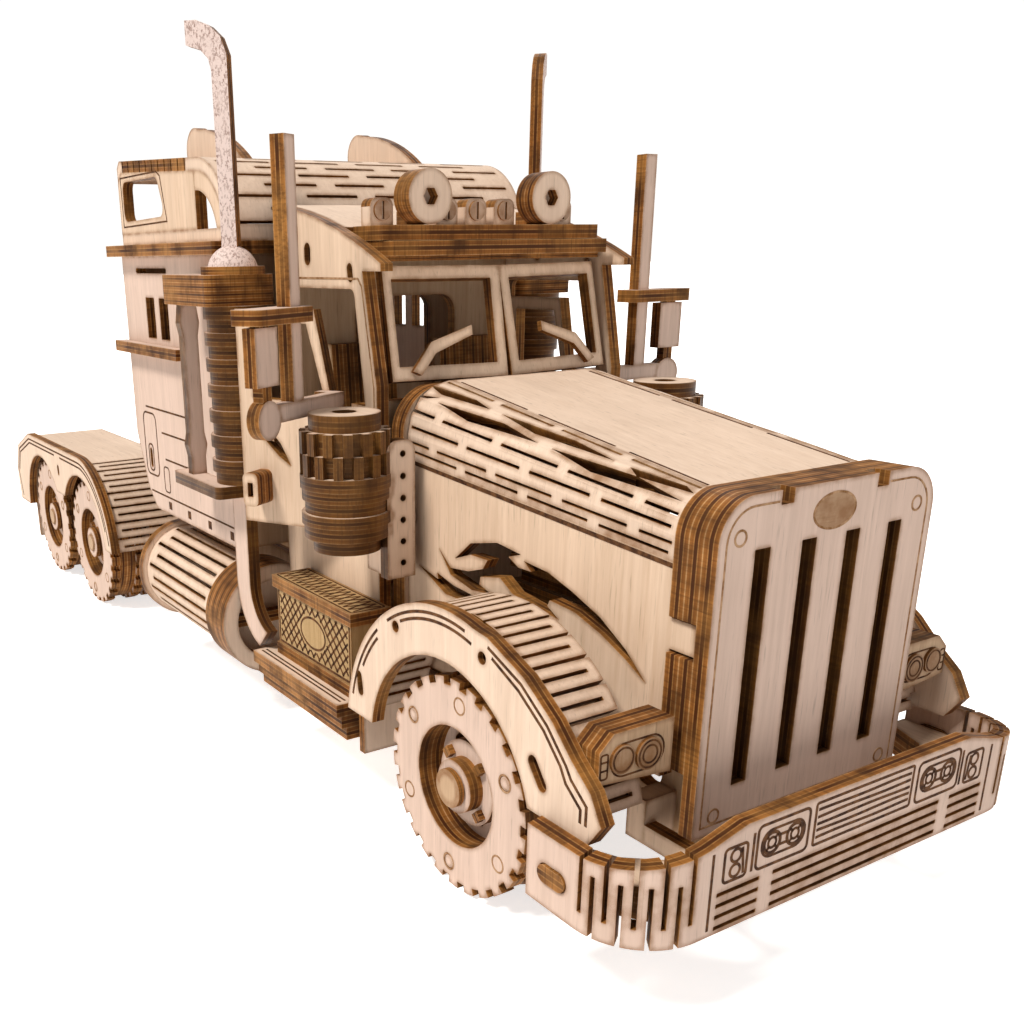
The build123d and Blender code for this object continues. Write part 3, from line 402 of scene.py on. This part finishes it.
TONE_OF = {
    "light": ("hood_top", "roof", "sleeper_ledge", "hood_shoulder", "front_fender", "fuel_tank", "step",
              "cab_roof", "sleeper_roof", "rear_fender", "air_cleaner"),
    "rosy": ("grille_panel", "front_wheel", "drive_wheel", "bumper_skin", "exhaust", "sleeper_side",
             "mirror"),
    "tan": ("engine", "frame_rail", "cross_members", "cab_floor", "seats", "dashboard", "drive_axle",
            "front_axle", "hood_hinge", "grille_layers", "sleeper_walls", "cab_rear_wall", "headlights"),
}
for name in sorted(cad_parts):
    tone = next((t for t, starts in TONE_OF.items() if name.startswith(starts)), "warm")
    dress(name, tone)


# ------------------------------------------------------------ engraved lines
# A line is its points, whether it is closed, and sometimes its own width.

def ring(a, b, r, count=26, tall=1.0):
    turns = [2 * math.pi * i / count for i in range(count)]
    return [(a + r * math.cos(t), b + tall * r * math.sin(t)) for t in turns], True


def rounded(a0, a1, b0, b1, r, count=6):
    """A closed rectangle with round corners."""
    corners = [(a1 - r, b1 - r, 0), (a0 + r, b1 - r, 90), (a0 + r, b0 + r, 180), (a1 - r, b0 + r, 270)]
    return [point for a, b, start in corners for point in arc(a, b, r, start, start + 90, count)], True


def arc(a, b, r, start, stop, count=18):
    turns = [math.radians(start + (stop - start) * i / count) for i in range(count + 1)]
    return [(a + r * math.cos(t), b + r * math.sin(t)) for t in turns]


def path(*points):
    return list(points), False


def wavy(a0, a1, b, swing, phase, count=24):
    steps = [i / count for i in range(count + 1)]
    return [(a0 + (a1 - a0) * k, b + swing * math.sin(7.5 * k + phase)) for k in steps], False


def borders(points, closed, width):
    """The two sides of a flat line of that width, mitred where it turns."""
    flat = [Vector(p) for p in points]
    sides = []
    for i, point in enumerate(flat):
        ways = []
        if i or closed:
            ways.append((point - flat[i - 1]).normalized())
        if i + 1 < len(flat) or closed:
            ways.append((flat[(i + 1) % len(flat)] - point).normalized())
        way = sum(ways, Vector((0, 0))).normalized()
        across = Vector((-way.y, way.x))
        spread = width / 2 / max(0.5, abs(across.dot(Vector((-ways[0].y, ways[0].x)))))
        sides.append((point + across * spread, point - across * spread))
    return sides


def piece(name, body, points, faces, material):
    """A new mesh, with its points in metres, that moves with a body of the frame."""
    mesh = bpy.data.meshes.new(name)
    mesh.from_pydata(points, [], faces)
    mesh.materials.append(material)
    obj = bpy.data.objects.new(name, mesh)
    bpy.context.scene.collection.objects.link(obj)
    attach(obj, body)


def engrave(name, body, origin, u, v, lines, width=0.34, material=ENGRAVED):
    """Thin lines on the plane through origin along u and v; everything is in millimetres."""
    origin, u, v = Vector(origin), Vector(u).normalized(), Vector(v).normalized()
    out = u.cross(v).normalized() * (PROUD / MM)
    points, faces = [], []

    def at(p, level):
        points.append((origin + u * p[0] + v * p[1] + out * level) * MM)
        return len(points) - 1
    for run, closed, *own in lines:
        sides = borders(run, closed, own[0] if own else width)
        rows = [(at(a, 1), at(b, 1), at(b, -1), at(a, -1)) for a, b in sides]
        count = len(rows)
        for i in range(count if closed else count - 1):
            one, two = rows[i], rows[(i + 1) % count]
            faces += [(one[k], one[(k + 1) % 4], two[(k + 1) % 4], two[k]) for k in range(4)]
        if not closed:
            faces += [rows[0][::-1], rows[-1]]
    piece(name, body, points, faces, material)


def flipped(lines):
    return [([(-a, b) for a, b in run], *rest) for run, *rest in lines]


def mirrored(lines):
    return lines + flipped(lines)


def sided(name, bodies, x, lines, width=0.34, material=ENGRAVED):
    """The same lines on both outer sides of the truck; lines are given as (y, z)."""
    engrave(name + "_left", bodies[0], (x, 0, 0), ALONG, UP, lines, width, material)
    engrave(name + "_right", bodies[1], (-x, 0, 0), (0, -1, 0), UP, flipped(lines), width, material)


def plaque(name, body, outline, y, material):
    """A thin plate glued on the front; its outline is given as (x, z) in millimetres."""
    count = len(outline)
    points = [Vector((a, y - level, b)) * MM for level in (0.03, -0.05) for a, b in outline]
    faces = [tuple(range(count)), tuple(range(2 * count - 1, count - 1, -1))]
    faces += [(i + count, (i + 1) % count + count, (i + 1) % count, i) for i in range(count)]
    piece(name, body, points, faces, material)


def grille_lines():
    frame_line = [(-9.3, 54.4), *arc(-13.0, 50.6, 3.8, 90, 180, 8), (-16.8, 17.7), (16.8, 17.7),
                  *arc(13.0, 50.6, 3.8, 0, 90, 8), (9.3, 54.4)]
    lines = [(frame_line, False, 0.24), (*ring(0, 52.3, 3.5, 40, 0.58), 0.26)]
    for a, b in ((14.8, 51.2), (14.8, 18.8)):
        lines += mirrored([ring(a, b, 0.85)])
    engrave("grille_engraving", "hood", (0, GRILLE_Y, 0), ACROSS, UP, lines, 0.26, SCORED)
    plaque("grille_emblem", "hood", ring(0, 52.3, 3.4, 40, 0.58)[0], GRILLE_Y, FACES["tan", 0])


def bumper_lines():
    lines = [rounded(-8.6, 8.6, 17.3, 22.5, 0.3)]
    lines += [wavy(-8.2, 8.2, 18.2 + 0.85 * i, 0.05, 1.9 * i) for i in range(5)]
    half = [rounded(9.6, 17.8, 17.2, 22.4, 0.7), (*rounded(10.3, 17.1, 18.3, 21.5, 1.5), 0.3)]
    for a in (11.9, 15.5):
        half += [(*ring(a, 19.9, 1.25), 0.42), (*ring(a, 19.9, 0.62), 0.3)]
        for turn in (45, 135, 225, 315):
            c, d = math.cos(math.radians(turn)), math.sin(math.radians(turn))
            half.append(path((a + 0.6 * c, 19.9 + 0.6 * d), (a + 1.2 * c, 19.9 + 1.2 * d)))
    half += [path((13.1, b), (14.3, b)) for b in (20.5, 19.3)]
    half += [rounded(19.3, 22.7, 17.2, 21.2, 0.5), ring(21.0, 20.1, 0.75), ring(21.0, 18.3, 0.75),
             path((19.7, 17.6), (20.1, 20.8)), path((18.4, 17.3), (18.4, 21.9)),
             path((24.4, 12.0), (24.4, 21.2))]
    engrave("bumper_engraving", "truck", (0, BUMPER_Y, 0), ACROSS, UP, lines + mirrored(half))


def headlight_lines():
    face = [rounded(20.9, 28.6, 26.1, 30.0, 1.9), rounded(29.1, 30.1, 26.4, 29.3, 0.3),
            path((29.1, 27.4), (30.1, 27.4)), path((29.1, 28.4), (30.1, 28.4))]
    engrave("headlight_engraving", "hood", (0, HEADLIGHT_Y, 0), ACROSS, UP, mirrored(face), 0.22)
    lens = [ring(23.3, 28.0, 1.6), ring(23.3, 28.0, 1.05), ring(27.2, 28.3, 1.4)]
    engrave("lens_engraving", "hood", (0, LENS_Y, 0), ACROSS, UP, mirrored(lens), 0.22)


def fender_lines():
    y = FRONT_AXLE_Y
    front = [(arc(y, WHEEL_Z, 23.3, 14, 48), False), (arc(y, WHEEL_Z, 22.4, 29, 46), False),
             (arc(y, WHEEL_Z, 23.3, 56, 101), False), (arc(y, WHEEL_Z, 22.4, 64, 105), False),
             path((-86.6, 36.9), (-92.8, 34.4), (-97.5, 31.1), (-100.8, 27.7), (-101.7, 26.4),
                  (-104.3, 24.3), (-104.3, 22.0)),
             path((-87.4, 35.8), (-92.4, 33.5), (-96.9, 30.4), (-99.9, 27.3), (-100.9, 25.6),
                  (-103.4, 23.6), (-103.4, 22.0))]
    sided("front_fender_engraving", ("hood", "hood"), FENDER_X, front, 0.4)
    y = DRIVE_AXLES_Y[0]
    rear = [path(*arc(y, WHEEL_Z, 19.7, 170, 92, 24), (119.4, 34.4), (131.2, 30.2), (134.8, 24.2),
                 (132.6, 16.8)),
            path(*arc(y, WHEEL_Z, 18.7, 160, 96, 20), (90.0, 33.4)),
            path((95.0, 33.4), (119.0, 33.4), (130.4, 29.4), (133.6, 24.1))]
    sided("rear_fender_engraving", FIXED, FENDER_X, rear, 0.4)


def hood_lines():
    for side, word in SIDES:
        seam = path((side * 0.3, 47.2), (side * 49.2, 51.8))
        along = (HOOD_SPREAD, side * HOOD_LENGTH, 0)
        engrave("hood_seam_" + word, "hood", (side * 17.5, HOOD_Y, 0), along, UP, [seam], 0.55)
    dashes = [path((11.9, a), (11.9, b)) for a, b in ((1.5, 14.0), (16.5, 31.0), (33.5, 48.5))]
    slope = (0, HOOD_LENGTH, HOOD_RISE)
    engrave("hood_top_engraving", "hood", (0, HOOD_Y, HOOD_Z), ACROSS, slope, mirrored(dashes), 0.3)


def side_lines():
    pillar = path((-46.3, 38.0), (-46.3, 61.8), (-43.4, 75.4), (-42.4, 76.4), (-18.6, 76.4))
    sided("cab_engraving", FIXED, CAB_X, [pillar], 0.3, SCORED)
    lines = [path((7, 51.7), (33, 51.7)), path((7.5, 47.3), (25, 47.3)), path((11, 42.2), (24, 42.2)),
             rounded(28, 35, 38, 50.5, 1.6), rounded(30.6, 33.2, 38.9, 44.2, 1.0),
             path((-9.0, 34.6), (33.4, 34.6)), (*rounded(22.6, 25.4, 35.6, 40.6, 0.8), 0.26)]
    sided("sleeper_engraving", FIXED, SLEEPER_X, lines)
    studs = [(*path((a, 33.0), (a + 1.5, 33.0)), 1.5) for a in (-7.5, 2.5, 12.5, 22.5)]
    sided("sleeper_studs", FIXED, SLEEPER_X, studs)
    window = [(13.5, 85.7), (36.4, 85.3), (36.4, 94.0), (17.2, 94.0), (15.6, 93.2)]
    sided("cap_engraving", FIXED, SLEEPER_X, [(window, True)], 0.26)


def toolbox_lines():
    """Raised treads in two directions round a plain oval plate, and more of them on the lid."""
    a0, a1, b0, b1 = -48.9, -26.5, 19.8, 27.9
    oval_a, oval_b, pitch, steps = -37.7, 23.8, 1.9, 32
    lines = [rounded(a0 - 0.4, a1 + 0.4, b0 - 0.4, b1 + 0.4, 0.4), ring(oval_a, oval_b, 4.0, 40, 0.62)]
    for lean, first in ((1, a0 - 8), (-1, a0)):
        for i in range(22):
            run = []
            for k in range(steps + 1):
                rise = (b1 - b0) * k / steps
                a, b = first + pitch * i + lean * rise, b0 + rise
                inside = a0 < a < a1 and ((a - oval_a) / 4.5) ** 2 + ((b - oval_b) / 2.9) ** 2 > 1
                if inside:
                    run.append((a, b))
                if not inside or k == steps:
                    if len(run) > 2:
                        lines.append(path(run[0], run[-1]))
                    run = []
    sided("toolbox_engraving", FIXED, TOOLBOX_X, lines)
    for side, word in SIDES:
        treads = [path((side * a, -49.8), (side * a, -23.0)) for a in (31.0, 31.8)]
        engrave("step_engraving_" + word, "truck", (0, 0, STEP_Z), ACROSS, ALONG, treads, 0.3)
        lid = [rounded(23.9, 29.6, -50.0, -25.4, 0.4)]
        for i in range(16):
            near, far = -49.6 + 1.5 * i, -48.2 + 1.5 * i
            lid += [path((24.4, near), (29.1, far)), path((24.4, far), (29.1, near))]
        if side < 0:
            lid = flipped(lid)
        engrave("lid_engraving_" + word, "truck", (0, 0, LID_Z), ACROSS, ALONG, lid, 0.3)


def peg_place(y, degrees):
    turn = math.radians(degrees)
    return y + PEG_CIRCLE * math.cos(turn), WHEEL_Z + PEG_CIRCLE * math.sin(turn)


def wheel_lines():
    front, rear = DRIVE_AXLES_Y
    for name, bodies, y in (("front", ("front_wheel_left", "front_wheel_right"), FRONT_AXLE_Y),
                            ("drive_front", ("drive_front", "drive_front"), front),
                            ("drive_rear", ("drive_rear", "drive_rear"), rear)):
        rings = [ring(*peg_place(y, 35 + 60 * i), 1.1, 20) for i in range(6)]
        sided(name + "_wheel_engraving", bodies, WHEEL_X, rings, 0.24, SCORED)


def peg(name, body, x, y, z, r, material):
    """A glued peg whose end is slightly domed."""
    side = math.copysign(1, x)
    count = 18
    turns = [2 * math.pi * i / count for i in range(count)]
    profile = [(-1.6, r), (-0.05, r), (0.05, 0.82 * r), (0.09, 0.4 * r)]
    points = [((x + side * d) * MM, (y + q * math.cos(t)) * MM, (z + q * math.sin(t)) * MM)
              for d, q in profile for t in turns]
    faces = [(row * count + i, row * count + (i + 1) % count, (row + 1) * count + (i + 1) % count,
              (row + 1) * count + i) for row in range(len(profile) - 1) for i in range(count)]
    faces += [tuple(range(count))[::-1], tuple(range(len(points) - count, len(points)))]
    if side < 0:
        faces = [f[::-1] for f in faces]
    piece(name, body, points, faces, material)


def wheel_pegs():
    front, rear = DRIVE_AXLES_Y
    wheels = [("front_wheel_" + word, side, word, FRONT_AXLE_Y) for side, word in SIDES]
    wheels += [("drive_front", *side, front) for side in SIDES]
    wheels += [("drive_rear", *side, rear) for side in SIDES]
    for body, side, word, y in wheels:
        for i in range(3):
            name = "peg_%s_%s_%d" % (body, word, i)
            peg(name, body, side * WHEEL_X, *peg_place(y, 35 + 120 * i), 0.92, FACES["rosy", 1])


grille_lines()
bumper_lines()
headlight_lines()
fender_lines()
hood_lines()
side_lines()
toolbox_lines()
wheel_lines()
wheel_pegs()


# ------------------------------------------------------------ stage, lights and camera

def glow(tree, socket, lit, seen):
    """A strength that differs between the light a surface gives and what the camera sees of it."""
    straight = tree.nodes.new("ShaderNodeLightPath").outputs["Is Camera Ray"]
    tree.links.new(remap(tree, straight, 0.0, 1.0, lit, seen), socket)


def stage():
    reach = 6.0
    mesh = bpy.data.meshes.new("floor")
    corners = [(-reach, -reach, 0), (reach, -reach, 0), (reach, reach, 0), (-reach, reach, 0)]
    mesh.from_pydata(corners, [], [(0, 1, 2, 3)])
    floor = bpy.data.objects.new("floor", mesh)
    bpy.context.scene.collection.objects.link(floor)
    material, tree, bsdf = shader("pale floor")
    place = node(tree, "ShaderNodeTexCoord").outputs["Object"]
    mottle = noise(tree, place, (3, 3, 3), 2.0, 0.5)
    tree.links.new(blend(tree, mottle, (0.93, 0.925, 0.92), (0.96, 0.955, 0.95)), bsdf.inputs["Base Color"])
    bsdf.inputs["Roughness"].default_value = 0.9
    bsdf.inputs["Emission Color"].default_value = (1.0, 1.0, 1.0, 1.0)
    glow(tree, bsdf.inputs["Emission Strength"], 0.25, 0.68)
    mesh.materials.append(material)

    world = bpy.data.worlds.new("studio")
    world.use_nodes = True
    background = world.node_tree.nodes["Background"]
    background.inputs["Color"].default_value = (1.0, 0.985, 0.965, 1.0)
    glow(world.node_tree, background.inputs["Strength"], 0.30, 1.05)
    bpy.context.scene.world = world


def lamp(name, place, target, size, watts, colour):
    data = bpy.data.lights.new(name, "AREA")
    data.shape = "DISK"
    data.size = size
    data.energy = watts
    data.color = colour
    obj = bpy.data.objects.new(name, data)
    obj.location = place
    obj.rotation_euler = (Vector(target) - Vector(place)).to_track_quat("-Z", "Y").to_euler()
    bpy.context.scene.collection.objects.link(obj)


def sun(name, source, spread, strength, colour):
    data = bpy.data.lights.new(name, "SUN")
    data.angle = math.radians(spread)
    data.energy = strength
    data.color = colour
    obj = bpy.data.objects.new(name, data)
    obj.rotation_euler = Vector(source).to_track_quat("Z", "Y").to_euler()
    bpy.context.scene.collection.objects.link(obj)


def camera():
    place = Vector((-103.29, -180.10, 79.53)) * MM
    pitch, roll, yaw = 0.344, -0.018, -0.535
    ahead = Vector((math.cos(pitch) * math.sin(-yaw), math.cos(pitch) * math.cos(yaw), -math.sin(pitch)))
    level = Vector((math.cos(yaw), math.sin(yaw), 0))
    up = level.cross(ahead)
    right = math.cos(roll) * level + math.sin(roll) * up
    top = -math.sin(roll) * level + math.cos(roll) * up
    data = bpy.data.cameras.new("camera")
    data.lens = 38.02
    data.sensor_width = 36.0
    data.shift_x = 0.1363
    data.shift_y = 0.1272
    data.clip_start = 0.005
    data.clip_end = 50.0
    obj = bpy.data.objects.new("camera", data)
    turn = Matrix((right, top, -ahead)).transposed().to_4x4()
    obj.matrix_world = Matrix.Translation(place) @ turn
    bpy.context.scene.collection.objects.link(obj)
    bpy.context.scene.camera = obj


stage()
sun("key", (-0.55, -0.02, 0.80), 14.0, 3.3, (1.0, 0.955, 0.90))
lamp("fill", (0.30, -0.80, 0.45), (0, -0.04, 0.04), 0.5, 0.9, (1.0, 0.93, 0.92))
lamp("back", (0.40, 0.60, 0.55), (0, 0.03, 0.05), 0.5, 1.2, (0.97, 0.98, 1.0))
camera()
bpy.context.scene.view_settings.view_transform = "Standard"
bpy.context.scene.view_settings.look = "None"
